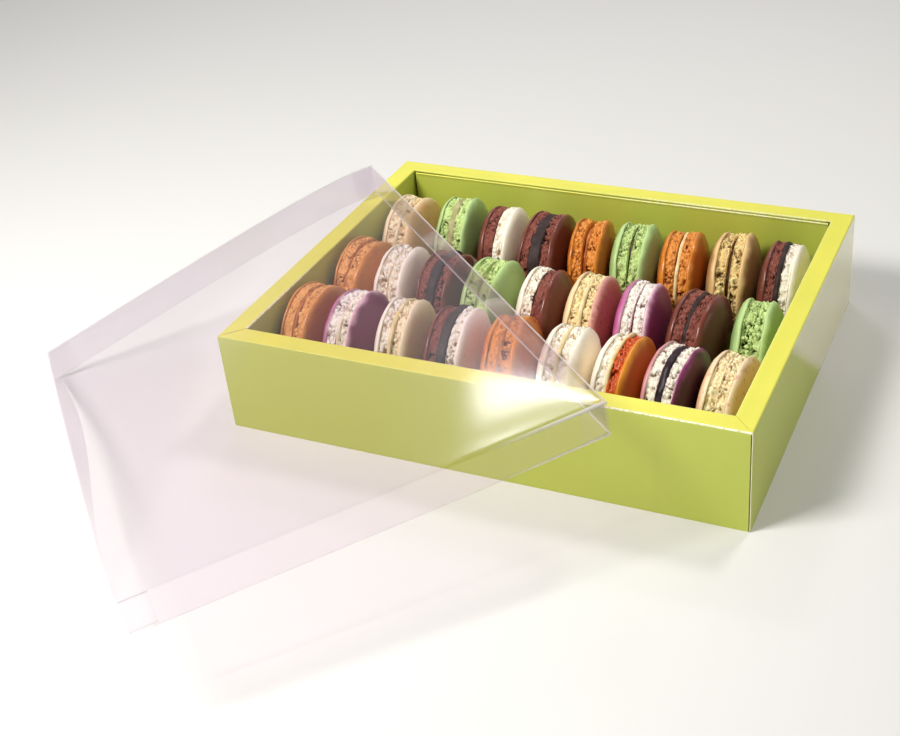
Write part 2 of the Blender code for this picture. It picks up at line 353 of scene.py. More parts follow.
# The inner folds' broken white lines are painted highlights; the front's outer fold is worn white
build_wall("tray_front", 0, inner_fold_highlight=lambda share: 0.7 * fades_in(share, 0.55, 0.8),
           wear_outer=lambda share: fades_in(share, 0.25, 0.5), seam_shade_depth=evenly(0.6),
           open_left=0.30 * MM, open_right=0.14 * MM, slit_right=0.85 * MM)
build_wall("tray_right", 1, inner_fold_highlight=evenly(0.25), polish_and_sheen=right_wall_sheen, open_left=0.14 * MM)
build_wall("tray_back", 2, inner_fold_highlight=lambda share: 0.5 * fades_in(-share, -0.1, 0.4),
           seam_shade_depth=lambda share: 0.45 + 0.5 * fades_in(share, 0.7, 1.0))
build_wall("tray_left", 3, inner_fold_highlight=lambda share: fades_in(share, 0.1, 0.7), open_right=0.30 * MM)


# The cut end of the right wall's card at the front right corner. The board is cream white
# inside, and it shows as a thin upright line beside a dark slit, because the corner was glued
# a little short.

# Uncoated cut board: dull, cream white, fibrous
board, tree, shader, spot = new_material("Cut edge of white board", Roughness=0.85, Specular_IOR_Level=0.3)
fibres = add_node(tree, "ShaderNodeTexNoise", {"Vector": spot, "Scale": 1 / (0.6 * MM)})
pulp = add_node(tree, "ShaderNodeMix", {0: fibres.outputs["Fac"], 6: linear("d8d3a4"), 7: linear("fbf8ea")},
                data_type="RGBA")
tree.links.new(pulp.outputs[2], shader.inputs["Base Color"])

# An upright rod as thick as the board, whose radius swells and thins a little on the way up
BOARD_THICKNESS = 0.5 * MM
rod_height = np.linspace(0.1 * MM, TRAY_HEIGHT - 0.5 * MM, 25)[:, None]
rod_angle = np.linspace(0, 2 * np.pi, 12, endpoint=False)
rod_radius = BOARD_THICKNESS / 2 * (1 - 0.18 * np.sin(rod_height / (3.1 * MM)) ** 2)
rod = np.stack([
    TRAY_HALF_WIDTH - BOARD_THICKNESS / 2 + rod_radius * np.cos(rod_angle),
    -TRAY_HALF_DEPTH + BOARD_THICKNESS / 2 + rod_radius * np.sin(rod_angle),
    rod_height + 0 * rod_angle,
], axis=-1)
corner_edge = closed_rings("tray_corner_edge", rod, board)
corner_edge.data.set_sharp_from_angle(angle=SHARP_FROM)
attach(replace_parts(corner_edge, "tray"), "root")


# The lining: a card panel along the inside of the front and of the back wall, each with a
# folded top edge that stands just below the rim and leaves a groove behind it, darkened with
# painted shade, and the tray's bottom between them.

LINING_GROOVE = 0.45 * MM
LINING_THICKNESS = 0.75 * MM
LINING_TOP = TRAY_HEIGHT - 1.0 * MM
LINING_END_GAP = 1.0 * MM
TRAY_FLOOR = 1.2 * MM


def build_lining(name, quarter, wear_and_highlight):
    """A slab with a round top edge, swept along the wall that it lines."""
    half = LINING_THICKNESS / 2
    below_edge = LINING_TOP - np.array([1.3, 0.9, 0.6]) * MM
    rise = np.concatenate([np.linspace(TRAY_FLOOR, LINING_TOP - 2.2 * MM, 9), below_edge])
    arc = np.pi - np.linspace(0, np.pi, 9)
    depth = np.concatenate([0 * rise - half, half * np.cos(arc), 0 * rise + half])
    height = np.concatenate([rise, LINING_TOP - half + half * np.sin(arc), rise[::-1]])
    share = np.linspace(-1, 1, 31)[:, None]
    middle = RIM_WIDTH + LINING_GROOVE + half
    x = share * (TRAY_HALF_WIDTH - RIM_WIDTH - LINING_END_GAP) + 0 * depth
    sway = 0.12 * MM * np.cos(np.pi * share * 1.5) * height / TRAY_HEIGHT
    y = -(TRAY_HALF_DEPTH - middle - depth - sway)
    piece = closed_rings(name, turned(np.stack([x, y, height + 0 * share], axis=-1), quarter), card)
    piece.data.set_sharp_from_angle(angle=SHARP_FROM)
    crest_highlight = fades_in(height, LINING_TOP - 0.65 * MM, LINING_TOP - 0.45 * MM)
    # Painted highlight: the fold's top edge is painted with the rim's lighter lime and a white line,
    # and painted shade lies a little darker below it
    crease = 0.35 * fades_in(height, LINING_TOP - 1.5 * MM, LINING_TOP - 0.9 * MM) * (1 - crest_highlight)
    add_attribute(piece, "top", np.broadcast_to(crest_highlight, x.shape))
    add_attribute(piece, "wear_and_highlight", crest_highlight * wear_and_highlight(share))
    add_attribute(piece, "seam_shade", np.broadcast_to(crease, x.shape))
    add_attribute(piece, "polish_and_sheen", 0.3 + 0 * x)
    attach(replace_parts(piece, "tray"), "root")


build_lining("tray_lining_front", 0, evenly(0.3))
build_lining("tray_lining_back", 2, lambda share: 0.75 * fades_in(-share, -0.2, 0.5))

# The bottom is a slab carried along X between the walls
bottom_x = np.linspace(-1, 1, 21)[:, None] * (TRAY_HALF_WIDTH - RIM_WIDTH)
bottom_y = np.array([-1, 1, 1, -1]) * (TRAY_HALF_DEPTH - RIM_WIDTH)
bottom_z = np.array([0.05 * MM, 0.05 * MM, TRAY_FLOOR, TRAY_FLOOR])
slab = np.stack([bottom_x + 0 * bottom_y, bottom_y + 0 * bottom_x, bottom_z + 0 * bottom_x], axis=-1)
bottom = closed_rings("tray_bottom", slab, card)
bottom.data.set_sharp_from_angle(angle=SHARP_FROM)
for attribute in CARD_ATTRIBUTES:
    add_attribute(bottom, attribute, np.zeros(len(bottom.data.vertices)))
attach(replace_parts(bottom, "tray"), "root")


# The macaron shells. Each is a disc of baked almond meringue: a smooth domed skin over a
# crumbly foot that rose and burst while it baked. Two of them close on a filling, and each
# macaron stands on edge in its row, its shells a little askew.


def scrambled(cube, seed):
    """A number from 0 to 1 for each cube of whole-numbered corners, the same for the same cube."""
    x, y, z = np.moveaxis(cube, -1, 0)
    mixed = (x * 73856093 ^ y * 19349663 ^ z * 83492791 ^ seed * 39916801) & 0x7FFFFFFF
    mixed = ((mixed ^ (mixed >> 13)) * 1274126177) & 0x7FFFFFFF
    mixed = ((mixed ^ (mixed >> 15)) * 668265263) & 0x7FFFFFFF
    return (mixed ^ (mixed >> 16)) / 0x7FFFFFFF


def smooth_noise(points, cell, seed):
    """Noise from 0 to 1 at points in millimetres: the random values at the eight corners of
    each point's cube of that cell size, blended by 3t^2 - 2t^3 along each axis."""
    scaled = points / cell
    corner = np.floor(scaled).astype(np.int64)
    t = scaled - corner
    t = t * t * (3 - 2 * t)
    total = np.zeros(points.shape[:-1])
    for step in np.ndindex(2, 2, 2):
        share = np.prod(np.where(np.array(step) == 1, t, 1 - t), axis=-1)
        total += share * scrambled(corner + np.array(step), seed)
    return total


def crumb_noise(points, cell, seed):
    """Where points lie among crumbs of about that size in millimetres, one in each cube: the
    distance to the nearest crumb's middle, how much farther the next one is, both in cells, and
    a number from 0 to 1 that the whole crumb shares."""
    scaled = points / cell
    corner = np.floor(scaled).astype(np.int64)
    nearest = np.full(points.shape[:-1], 9.0)
    second = np.full(points.shape[:-1], 9.0)
    own = np.zeros(points.shape[:-1])
    for step in np.ndindex(3, 3, 3):
        cube = corner + np.array(step) - 1
        middle = cube + np.stack([scrambled(cube, seed + axis) for axis in (11, 12, 13)], axis=-1)
        away = np.linalg.norm(scaled - middle, axis=-1)
        own = np.where(away < nearest, scrambled(cube, seed + 14), own)
        second = np.minimum(second, np.maximum(nearest, away))
        nearest = np.minimum(nearest, away)
    return nearest, second - nearest, own


# Rows and places of a shell's mesh, and how far the places crowd towards its top, in radians
FOOT_ROWS = 19
DOME_ROWS = 11
SHELL_PLACES = 288
CROWDING = 0.42
# The exponent of the dome's outline, then millimetres
DOME_ROUNDNESS = 2.05
FOOT_THICKNESS = 4.8
CRUMB = 1.9
FINE_CRUMB = 0.95


def shell_rings(radius, dome, burst, seed):
    """Rings of one shell about the X axis in millimetres, from its flat inner face at x = 0 to
    near the top of its dome. The dome is a superellipse, (x/dome)^n + (r/radius)^n = 1. A narrow
    groove runs under its lip. The foot is a band of crumbs, each at its own height, with frills
    that swell out and cracks and holes between them. Places crowd towards the top, which shows."""
    t = np.linspace(0, 1, FOOT_ROWS)
    angle = np.radians(np.linspace(88, 7, DOME_ROWS))
    foot_end = FOOT_THICKNESS - 0.45
    along = np.concatenate([
        [0.0, 0.0, 0.08], 0.2 + t * (foot_end - 0.3), [foot_end, foot_end + 0.2, foot_end + 0.3],
        foot_end + 0.4 + (dome + 0.05) * np.cos(angle) ** (2 / DOME_ROUNDNESS)])
    reach = np.concatenate([
        [0.5 * radius, radius - 2.8, radius - 1.2], radius - 0.35 + 0.35 * np.sin(np.pi * t),
        [radius - 0.7, radius - 0.8, radius - 0.3], radius * np.sin(angle) ** (2 / DOME_ROUNDNESS)])
    foot = np.concatenate([[0.0, 0.0, 0.6], np.minimum(1, 5 * np.minimum(t + 0.12, 1.1 - t)), [0.4, 0.2, 0.0],
                           np.zeros(DOME_ROWS)])[:, None]
    groove = np.concatenate([np.zeros(3 + FOOT_ROWS), [0.8, 1.0, 0.5], np.zeros(DOME_ROWS)])[:, None]
    rise = np.concatenate([np.zeros(6 + FOOT_ROWS), (90 - np.degrees(angle)) / 90])[:, None]
    step = np.linspace(0, 2 * np.pi, SHELL_PLACES, endpoint=False)
    turn = step + CROWDING * np.cos(step)
    along, reach = along[:, None], reach[:, None]
    flat = np.stack([along + 0 * turn, reach * np.cos(turn), reach * np.sin(turn)], axis=-1)
    # Each shell takes its crumbs, cracks, holes and waves from another place in the noise
    shifted = flat + 97.0 * (seed % 89)
    pebble, crack_side, block = crumb_noise(shifted, CRUMB, seed)
    small_pebble, _, small_block = crumb_noise(shifted, FINE_CRUMB, seed + 20)
    crack = 1 - fades_in(crack_side, 0.03, 0.16)
    open_zone = fades_in(smooth_noise(shifted, 3.6, seed + 1), 0.42, 0.66)
    holes = fades_in(smooth_noise(shifted, 1.25, seed + 2), 0.68, 0.78)
    waves = smooth_noise(shifted, 11.0, seed + 3)
    lumps = smooth_noise(shifted, 3.1, seed + 6)
    frill = fades_in(smooth_noise(shifted, 2.4, seed + 8), 0.5, 0.8)
    groove_zone = fades_in(smooth_noise(shifted, 6.0, seed + 7), 0.30, 0.5)
    # How far each point is eaten back from the full radius, and how far the lip sags over the foot
    crumbs = 0.35 * pebble + 0.55 * block + 0.15 * small_pebble + 0.35 * small_block + 0.75 * lumps
    eaten = foot * burst * (crumbs - 0.75 * frill + (0.6 * crack + 1.1 * holes) * (0.4 + open_zone))
    dents = (1 - foot) * 0.10 * smooth_noise(shifted, 4.5, seed + 4)
    inwards = 0.45 * waves + eaten + dents - 0.35 * groove * (1 - groove_zone)
    shrink = 1 - inwards / np.maximum(reach, 1.0)
    sag = 0.7 * (smooth_noise(shifted, 5.5, seed + 5) - 0.5) * (rise < 0.3) * (along > 1.0)
    x = flat[..., 0] + sag * np.minimum(1, along / FOOT_THICKNESS)
    # The foot's edge on the filling wanders too
    x += 0.9 * (0.45 - smooth_noise(shifted, 4.2, seed + 9)) * foot * np.clip(1 - along / 2.0, 0, 1)
    rings = np.stack([x, flat[..., 1] * shrink, flat[..., 2] * shrink], axis=-1)
    # What the material reads: painted shade where cracks, holes and the groove open, and painted
    # highlight on top of the crumbs
    gaps = 0.55 * crack * open_zone + 0.10 * crack + holes * (0.35 + 0.65 * open_zone)
    pit_shade = np.clip(foot * gaps + 0.8 * groove * groove_zone, 0, 1)
    crest_highlight = np.clip(foot * (1.1 - block - 0.5 * small_block) * fades_in(crack_side, 0.1, 0.4), 0, 1)
    crust = np.maximum(foot, groove)
    return rings, crust + 0 * turn, pit_shade, crest_highlight, rise + 0 * turn


def placed(points, side, lean, offset, turn, centre):
    """Points of a shell given from its inner face, in millimetres, set in the row: mirrored for
    the left side, leant about Y and Z, moved by the offset, turned about the upright and put at
    the macaron's centre, in metres."""
    x, y, z = np.moveaxis(points * np.array([side, 1.0, 1.0]), -1, 0)
    x, z = x * math.cos(lean[0]) + z * math.sin(lean[0]), z * math.cos(lean[0]) - x * math.sin(lean[0])
    x, y = x * math.cos(lean[1]) - y * math.sin(lean[1]), y * math.cos(lean[1]) + x * math.sin(lean[1])
    x, y, z = x + offset[0], y + offset[1], z + offset[2]
    x, y = x * math.cos(turn) - y * math.sin(turn), x * math.sin(turn) + y * math.cos(turn)
    return np.stack([x, y, z], axis=-1) * MM + np.array(centre)


# Shares from 0 to 1 that meringue reads: on the foot, painted shade in a hollow, painted highlight
# on a crumb's top, up the dome
SHELL_ATTRIBUTES = ("foot", "pit_shade", "crest_highlight", "rise")


# Baked almond meringue: the dome's skin is satin, with a faint pore, and paler or deeper
# towards its rim. The foot is matt and open, with painted shade in its pits and painted
# highlights on its crumbs.
def meringue(name, dome, rim, foot, pit_shade, skin_rough, fleck=None, flecks=0.0, foot_rough=0.9, rim_reach=0.34):
    finish, tree, shader, spot = new_material(name, IOR=1.45)
    on_foot, depth, crest_highlight, rise = [add_node(tree, "ShaderNodeAttribute", attribute_name=each).outputs["Fac"]
                                   for each in SHELL_ATTRIBUTES]
    # Browned and pale patches of the skin, about 9 mm across
    patch = add_node(tree, "ShaderNodeTexNoise", {"Vector": spot, "Scale": 1 / (9 * MM), "Detail": 3.0})
    patch_shift = add_node(tree, "ShaderNodeMath", {0: patch.outputs["Fac"], 1: 0.5}, operation="SUBTRACT")
    skewed = add_node(tree, "ShaderNodeMath", {0: patch_shift.outputs[0], 1: 0.5, 2: rise},
                      operation="MULTIPLY_ADD")
    up_dome = add_node(tree, "ShaderNodeMapRange", {"Value": skewed.outputs[0], 1: 0.02, 2: rim_reach},
                       interpolation_type="SMOOTHSTEP")
    skin = add_node(tree, "ShaderNodeMix", {0: up_dome.outputs[0], 6: linear(rim), 7: linear(dome)},
                    data_type="RGBA")
    if fleck:
        # Ground almond skin or crushed petal: the peaks of a 2.2 mm noise, as specks of 1 mm
        speck = add_node(tree, "ShaderNodeTexNoise", {"Vector": spot, "Scale": 1 / (2.2 * MM), "Detail": 3.0})
        shown = add_node(tree, "ShaderNodeMapRange", {"Value": speck.outputs["Fac"], 1: 0.56, 2: 0.70,
                                                      4: flecks})
        skin = add_node(tree, "ShaderNodeMix", {0: shown.outputs[0], 6: skin.outputs[2], 7: linear(fleck)},
                        data_type="RGBA")
    # Crumbs of 0.9 mm on the foot, with painted highlight on top and more painted shade where they open
    crumb = add_node(tree, "ShaderNodeTexNoise", {"Vector": spot, "Scale": 1 / (0.9 * MM), "Detail": 3.0,
                                                  "Roughness": 0.65})
    opened = add_node(tree, "ShaderNodeMapRange", {"Value": crumb.outputs["Fac"], 1: 0.38, 2: 0.33, 4: 0.5})
    shaded_pits = add_node(tree, "ShaderNodeMath", {0: depth, 1: opened.outputs[0]}, operation="ADD", use_clamp=True)
    baked = linear(foot)
    crumb_highlight = tuple(min(0.9, 1.18 * c + 0.035) for c in baked[:3]) + (1.0,)
    highlit_tops = add_node(tree, "ShaderNodeMix", {0: crest_highlight, 6: baked, 7: crumb_highlight}, data_type="RGBA")
    crust = add_node(tree, "ShaderNodeMix", {0: shaded_pits.outputs[0], 6: highlit_tops.outputs[2], 7: linear(pit_shade)},
                     data_type="RGBA")
    whole = add_node(tree, "ShaderNodeMix", {0: on_foot, 6: skin.outputs[2], 7: crust.outputs[2]},
                     data_type="RGBA")
    tree.links.new(whole.outputs[2], shader.inputs["Base Color"])
    dull = add_node(tree, "ShaderNodeMapRange", {"Value": on_foot, 3: skin_rough, 4: foot_rough})
    tree.links.new(dull.outputs[0], shader.inputs["Roughness"])
    # Pores of the skin at 0.5 mm, and the crumbs' own relief
    pore = add_node(tree, "ShaderNodeTexNoise", {"Vector": spot, "Scale": 1 / (0.5 * MM)})
    coarse = add_node(tree, "ShaderNodeMix", {0: on_foot, 2: pore.outputs["Fac"], 3: crumb.outputs["Fac"]})
    height = add_node(tree, "ShaderNodeMapRange", {"Value": on_foot, 3: 0.05, 4: 0.7})
    relief = add_node(tree, "ShaderNodeBump", {"Height": coarse.outputs[0], "Strength": height.outputs[0],
                                               "Distance": 0.5 * MM})
    tree.links.new(relief.outputs["Normal"], shader.inputs["Normal"])
    return finish


# Colours of the dome's top, its rim, the foot and the painted shade in its pits, the skin's
# roughness, and for some the colour of flecks and how strongly they show
SHELLS = {
    "cream": meringue("Cream meringue", "f6dcae", "f9e8c4", "fae9c0", "a8743a", 0.40, "dcb078", 0.2),
    "ivory": meringue("Ivory meringue", "fdf0d8", "fdf5e4", "fdf5e2", "b58c5a", 0.40, "ead2a8", 0.2),
    "tan": meringue("Browned cream meringue", "e2b078", "f0d6a6", "f6dcaa", "93602c", 0.40, "c48c50", 0.4),
    "pistachio": meringue("Pistachio meringue", "9cb874", "bedc90", "cae092", "33501e", 0.38, "90b468", 0.2),
    "chocolate": meringue("Chocolate meringue", "663529", "7d4438", "8a4c40", "2a0f0d", 0.26),
    "orange": meringue("Orange meringue", "b65c1a", "dc8832", "e8943a", "7a300c", 0.24, "a24e16", 0.4,
                       foot_rough=0.5),
    "coffee": meringue("Coffee meringue", "a67c4c", "ecc688", "f2d290", "5c3a1c", 0.40, "aa7c48", 0.2),
    "caramel": meringue("Caramel meringue", "c27a32", "e0964c", "eaa65a", "7a3610", 0.22, "a0541c", 0.35,
                        foot_rough=0.5),
    "peach": meringue("Peach meringue", "f2c894", "f8dcae", "fae6b0", "a87030", 0.40, "e2a070", 0.35),
    "rose": meringue("Rose meringue with petal flecks", "b8685c", "dea498", "f4dca6", "935a30", 0.40,
                     "98403e", 0.5),
    "magenta": meringue("Magenta meringue", "b04e86", "c470a0", "fdf6ea", "84605a", 0.36),
    "pink": meringue("Pink meringue with a white rim", "8c3a62", "ecc4d6", "fdf6ea", "84605a", 0.36,
                     rim_reach=0.3),
    "mauve": meringue("Mauve meringue", "c87c84", "dc949c", "fdf5e4", "7c5a4c", 0.38),
    "purple": meringue("Blackcurrant meringue with a white rim", "7c2c58", "e2b8c4", "fbf2de", "7c5c48", 0.32,
                       rim_reach=0.3),
    "plum": meringue("Plum meringue", "3a1626", "8e3a6c", "fdf4e4", "7c5a4c", 0.30),
    "speckled": meringue("Cream meringue with petal flecks", "f0c090", "fae0bc", "fce8b8", "a06c36", 0.40,
                         "cc7c68", 0.6),
    "blush": meringue("Ivory meringue with a rose blush", "fdebe0", "fdf2e6", "fdf4e2", "a8845c", 0.40,
                      "e4b4a2", 0.35),
    "tangerine": meringue("Orange meringue with a candied foot", "bc6618", "e2922c", "d2561c", "84260a", 0.30,
                          foot_rough=0.18),
}


# The fillings: a ring of buttercream or ganache pressed out between the shells, which shows as
# a thin line or a thick soft band and mostly stops short of the feet.


# Buttercream and ganache have a soft sheen, with streaks where they were piped
def filling_finish(name, light, dark, roughness):
    finish, tree, shader, spot = new_material(name, Roughness=roughness, IOR=1.45, Specular_IOR_Level=0.3)
    # Streaks from the piping, about 4 mm long
    streak = add_node(tree, "ShaderNodeTexNoise", {"Vector": spot, "Scale": 1 / (4 * MM), "Detail": 4.0})
    share = add_node(tree, "ShaderNodeMapRange", {"Value": streak.outputs["Fac"], 1: 0.35, 2: 0.65})
    colour = add_node(tree, "ShaderNodeMix", {0: share.outputs[0], 6: linear(dark), 7: linear(light)},
                      data_type="RGBA")
    tree.links.new(colour.outputs[2], shader.inputs["Base Color"])
    relief = add_node(tree, "ShaderNodeBump", {"Height": streak.outputs["Fac"], "Strength": 0.3,
                                               "Distance": 0.4 * MM})
    tree.links.new(relief.outputs["Normal"], shader.inputs["Normal"])
    return finish


FILLINGS = {
    "cream": filling_finish("Vanilla buttercream", "f3e2b4", "e2c98c", 0.45),
    "white": filling_finish("White buttercream", "f6ecd8", "e6d3b0", 0.45),
    "khaki": filling_finish("Pistachio buttercream", "bdb688", "a09a66", 0.5),
    "ganache": filling_finish("Dark chocolate ganache", "40302f", "2a1d1d", 0.6),
    "cassis": filling_finish("Blackcurrant ganache", "33202c", "1e1018", 0.42),
    "toffee": filling_finish("Toffee cream", "c98044", "9a5424", 0.4),
    # Painted shade: a dark filling that stands for the shadow in a thin gap between the shells
    "shade": filling_finish("Thin filling darkened with painted shade", "6a4e36", "463322", 0.5),
}


# Millimetres: how far a filling reaches into each foot, and how far its middle bulges
FILLING_TUCK = 0.35
FILLING_BULGE = 0.35


def filling_rings(radius, thickness, inset, seed):
    """Rings of the filling about the X axis in millimetres: a bulged band, a half sine proud at
    its middle, whose radius wanders by noise as it was pressed out unevenly."""
    share = np.linspace(-1, 1, 9)[:, None]
    turn = np.linspace(0, 2 * np.pi, 160, endpoint=False)
    along = share * (thickness / 2 + FILLING_TUCK)
    reach = radius - inset + FILLING_BULGE * np.cos(share * np.pi / 2) + 0 * turn
    flat = np.stack([along + 0 * turn, reach * np.cos(turn), reach * np.sin(turn)], axis=-1)
    wander = 2.2 * (smooth_noise(flat + 53.0 * (seed % 97), 7.0, seed) - 0.5)
    wander += 0.5 * (smooth_noise(flat + 31.0 * (seed % 83), 2.2, seed + 1) - 0.5)
    swell = 1 + wander / reach
    return np.stack([flat[..., 0], flat[..., 1] * swell, flat[..., 2] * swell], axis=-1)


# Each row from left to right: left shell, right shell and filling; thickness of the whole and
# of the filling in mm; turn about the upright in degrees; how far the filling stops short of the
# edge in mm; how burst the feet are; how far the shells gape at the top in degrees
ROWS = {
    "back": (
        ("cream", "tan", "white", 24.0, 0.8, 0, 2.4, 0.9, 0.0),
        ("pistachio", "pistachio", "khaki", 22.5, 2.6, 7, 1.7, 1.0, -1.5),
        ("chocolate", "ivory", "shade", 23.0, 0.3, 5, 4.0, 0.7, 0.0),
        ("chocolate", "chocolate", "ganache", 24.5, 5.2, 0, 1.3, 0.9, -5.0),
        ("orange", "orange", "toffee", 20.5, 0.8, 6, 4.5, 1.4, 6.0),
        ("pistachio", "pistachio", "shade", 24.0, 0.4, 6, 4.0, 1.5, 0.0),
        ("orange", "orange", "cream", 23.0, 0.9, 5, 2.4, 1.0, 3.0),
        ("coffee", "coffee", "shade", 24.5, 0.6, 4, 4.5, 1.4, 0.0),
        ("chocolate", "ivory", "ganache", 23.0, 1.6, 2, 1.4, 1.0, 0.0),
    ),
    "middle": (
        ("caramel", "caramel", "toffee", 20.0, 0.8, -2, 2.2, 0.8, 2.0),
        ("ivory", "ivory", "cream", 22.0, 0.6, 2, 3.0, 1.5, 1.0),
        ("chocolate", "chocolate", "ganache", 22.5, 3.6, -1, 1.0, 0.8, 0.0),
        ("pistachio", "pistachio", "khaki", 23.5, 0.7, -2, 3.8, 1.3, 4.0),
        ("ivory", "chocolate", "ganache", 23.0, 0.5, 1, 3.4, 1.1, 0.0),
        ("peach", "rose", "cream", 23.5, 1.2, 1, 1.6, 1.1, 0.0),
        ("magenta", "pink", "shade", 23.5, 0.4, 1, 4.0, 0.8, 0.0),
        ("chocolate", "chocolate", "ganache", 24.5, 1.7, -5, 1.7, 1.1, 0.0),
        ("pistachio", "pistachio", "shade", 23.0, 0.4, 3, 4.0, 1.4, 0.0),
    ),
    "front": (
        ("caramel", "caramel", "toffee", 19.8, 1.0, -2, 2.0, 0.8, 0.0),
        ("magenta", "purple", "white", 22.5, 1.0, 1, 2.0, 0.9, 0.0),
        ("ivory", "cream", "cream", 22.5, 1.2, 5, 1.4, 1.1, 0.0),
        ("chocolate", "blush", "ganache", 25.0, 3.4, 3, 0.6, 1.0, 1.5),
        ("orange", "orange", "toffee", 23.5, 1.2, 5, 1.4, 1.0, 0.0),
        ("ivory", "ivory", "cream", 24.5, 1.0, 2, 1.9, 1.0, 1.0),
        ("ivory", "tangerine", "cream", 23.0, 0.8, -4, 1.6, 1.0, 0.0),
        ("mauve", "plum", "cassis", 22.5, 2.4, -5, 1.6, 0.9, 2.0),
        ("speckled", "speckled", "shade", 23.0, 0.4, -3, 4.0, 1.3, 0.0),
    ),
}
# How far a shell may be askew by chance, and the height that its dome gives up for that, in mm
LARGEST_LEAN = math.radians(1.6)
LARGEST_SLIP = 0.35
ROOM_TO_LEAN = 0.25


def build_macaron(node, left, right, filling, thickness, band, turn, inset, burst, gape, seed):
    """Two shells and a filling about the middle of the node's box, as wide as the box is high."""
    low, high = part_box(node)
    centre = (low + high) / 2
    radius = (high.z - low.z) / 2 / MM
    turn = math.radians(turn)
    dome = (thickness - band) / 2 - FOOT_THICKNESS - ROOM_TO_LEAN
    chance = np.random.default_rng(seed)
    made = []
    for side, kind, name in ((-1, left, "left_shell"), (1, right, "right_shell")):
        lean = chance.uniform(-LARGEST_LEAN, LARGEST_LEAN, 2)
        lean[0] += side * math.radians(gape) / 2
        slip = chance.uniform(-LARGEST_SLIP, LARGEST_SLIP, 2)
        smaller = radius - chance.uniform(0.1, 0.5) - abs(slip).max() / 2
        rings, *shares = shell_rings(smaller, dome, burst, seed * 10 + side)
        poles = np.array([[0.0, 0.0, 0.0], [FOOT_THICKNESS + dome, 0.0, 0.0]])
        offset = (side * band / 2, slip[0], slip[1] - (radius - smaller) / 2)
        rings, poles = [placed(points, side, lean, offset, turn, centre) for points in (rings, poles)]
        piece = closed_rings(f"{node}_{name}", rings, SHELLS[kind], poles)
        for attribute, values in zip(SHELL_ATTRIBUTES, shares):
            at_poles = (0, 1) if attribute == "rise" else (0, 0)
            add_attribute(piece, attribute, np.concatenate([values.ravel(), at_poles]))
        made.append(piece)
    rings = filling_rings(radius, band, inset, seed * 10 + 5)
    end = band / 2 + FILLING_TUCK
    poles = np.array([[-end, 0.0, 0.0], [end, 0.0, 0.0]])
    rings, poles = [placed(points, 1, (0, 0), (0, 0, 0), turn, centre) for points in (rings, poles)]
    made.append(closed_rings(f"{node}_filling", rings, FILLINGS[filling], poles))
    for piece in made:
        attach(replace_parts(piece, node), "root")


seed = 100
for row, macarons in ROWS.items():
    for number, details in enumerate(macarons, 1):
        seed += 7
        build_macaron(f"macaron_{row}_{number}", *details, seed)


# The lid: one sheet of clear film, folded down along all four sides and glued at the corners
# with a small tab inside each end of the short walls. It lies across the tray's left side, and
# its far left corner hangs down to the table, with buckles that fan out from it.

# Lengths and places in millimetres, turns in radians
LID_LENGTH = 243.6
LID_WIDTH = 189.0
LID_WALL = 16.0
FILM = 0.4
LID_TURN = math.radians(-41.1)
LID_FALL_ALONG = math.radians(0.5)
LID_FALL_ACROSS = math.radians(4.3)
LID_CORNER = np.array([-115.3, 48.0, 66.4])
SAG = np.array([12.3, 5.4, -36.1])
SAG_OF_WALL = np.array([0.0, 2.4, 0.0])
SAG_ROUNDING = 0.2
LID_BOW = 2.2
LID_BOW_SECOND = 2.4
FAN_HEIGHT = 0.25
FAN_PEAK = 25.0
CONE_SLOPE = 0.018
CONE_REACH = 70.0
CALM_EDGE = 12.0
FILM_FOLD = 0.7
LID_STEPS_ACROSS = 96
LID_STEPS_ALONG = 120
# Shares of painted highlight at the fold and at the free edge, and of the tint that the walls do without
FOLD_HIGHLIGHT = 0.4
EDGE_HIGHLIGHT = 0.36
WALL_CLEARNESS = 0.2

lid_along = np.array([math.cos(LID_TURN), math.sin(LID_TURN), -math.tan(LID_FALL_ALONG)])
lid_along /= np.linalg.norm(lid_along)
lid_across = np.array([math.sin(LID_TURN), -math.cos(LID_TURN), -math.tan(LID_FALL_ACROSS)])
lid_across -= lid_along * lid_across.dot(lid_along)
lid_across /= np.linalg.norm(lid_across)
lid_up = np.cross(lid_across, lid_along)


def lid_sag(u, v):
    """How far a point follows the hanging corner: 0 behind the plate's diagonal, then rounding
    into a slope that reaches 1 at the corner, as (1 + e) t^2 / (t + e) with t = u - v."""
    ahead = np.maximum(u - v, 0.0)
    return ahead * ahead / (ahead + SAG_ROUNDING) * (1 + SAG_ROUNDING)


